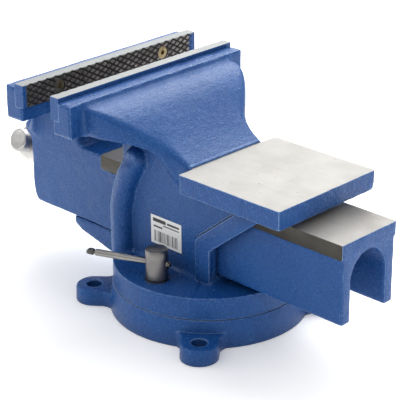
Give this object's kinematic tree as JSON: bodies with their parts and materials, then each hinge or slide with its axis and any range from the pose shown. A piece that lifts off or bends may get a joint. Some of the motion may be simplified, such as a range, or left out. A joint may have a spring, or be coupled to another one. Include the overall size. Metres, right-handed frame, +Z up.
{
  "type": "bench vise",
  "caption": "Cast bench vise on a swivel base, with an anvil, a sliding U-shaped beam, knurled jaw plates, a lead screw and a sliding T handle.",
  "frame": {"origin": "middle of the base underside, on the swivel axis and at the centre of the bolt hole circle", "axes": "+Z up, Y along the lead screw with the handle end at -Y and the anvil at +Y, X along the jaws"},
  "size_m": [0.2703, 0.396, 0.1927],
  "materials": {
    "blue_paint": "rough casting under gloss paint",
    "jaw_steel": "black oxide with a knurled face",
    "yellow_zinc": "yellow zinc plated",
    "bright_steel": "turned steel",
    "nut_iron": "bare machined iron"
  },
  "bodies": {
    "base": {"swivel_base": "blue_paint"},
    "vise": {"vise_body": "blue_paint", "fixed_jaw_plate": "jaw_steel", "fixed_plate_screws": "yellow_zinc", "lead_nut": "nut_iron", "nut_bolt": "bright_steel", "nut_washer": "bright_steel", "lock_bolt_near": "bright_steel", "lock_bolt_far": "bright_steel", "lock_washer_near": "bright_steel", "lock_washer_far": "bright_steel"},
    "slide": {"moving_jaw": "blue_paint", "moving_jaw_plate": "jaw_steel", "moving_plate_screws": "yellow_zinc", "thrust_washer": "bright_steel"},
    "screw": {"lead_screw": "bright_steel", "distance_sleeve": "nut_iron", "retaining_collar": "nut_iron", "collar_pin": "bright_steel"},
    "handle": {"handle_bar": "bright_steel", "handle_knob_near": "bright_steel", "handle_knob_far": "bright_steel"},
    "nut_near": {"lock_nut_near": "bright_steel"},
    "nut_far": {"lock_nut_far": "bright_steel"},
    "bar_near": {"lock_bar_near": "bright_steel"},
    "bar_far": {"lock_bar_far": "bright_steel"}
  },
  "joints": [
    {"name": "swivel", "type": "hinge", "parent": "base", "child": "vise", "pos_m": [0, 0, 0.024], "axis": [0, 0, 1], "continuous": true},
    {"name": "jaw_slide", "type": "slide", "parent": "vise", "child": "slide", "axis": [0, -1, 0], "range_m": [-0.0339, 0.1301]},
    {"name": "screw_turn", "type": "hinge", "parent": "slide", "child": "screw", "pos_m": [0, -0.2, 0.0872], "axis": [0, -1, 0], "range_deg": [-2028, 7800]},
    {"name": "handle_slide", "type": "slide", "parent": "screw", "child": "handle", "axis": [0.9135, 0, 0.4067], "range_m": [0, 0.148]},
    {"name": "lock_turn_near", "type": "hinge", "parent": "vise", "child": "nut_near", "pos_m": [0.0615, 0, 0.058], "axis": [0, 0, 1], "range_deg": [-15, 160]},
    {"name": "lock_turn_far", "type": "hinge", "parent": "vise", "child": "nut_far", "pos_m": [-0.0615, 0, 0.058], "axis": [0, 0, 1], "range_deg": [-160, 15]},
    {"name": "lock_bar_slide_near", "type": "slide", "parent": "nut_near", "child": "bar_near", "axis": [0.3746, -0.9272, 0], "range_m": [-0.006, 0]},
    {"name": "lock_bar_slide_far", "type": "slide", "parent": "nut_far", "child": "bar_far", "axis": [-0.3746, -0.9272, 0], "range_m": [-0.006, 0]}
  ],
  "couplings": [
    {"joint": "jaw_slide", "follows": "screw_turn", "m_per_rad": 0.00095493}
  ]
}
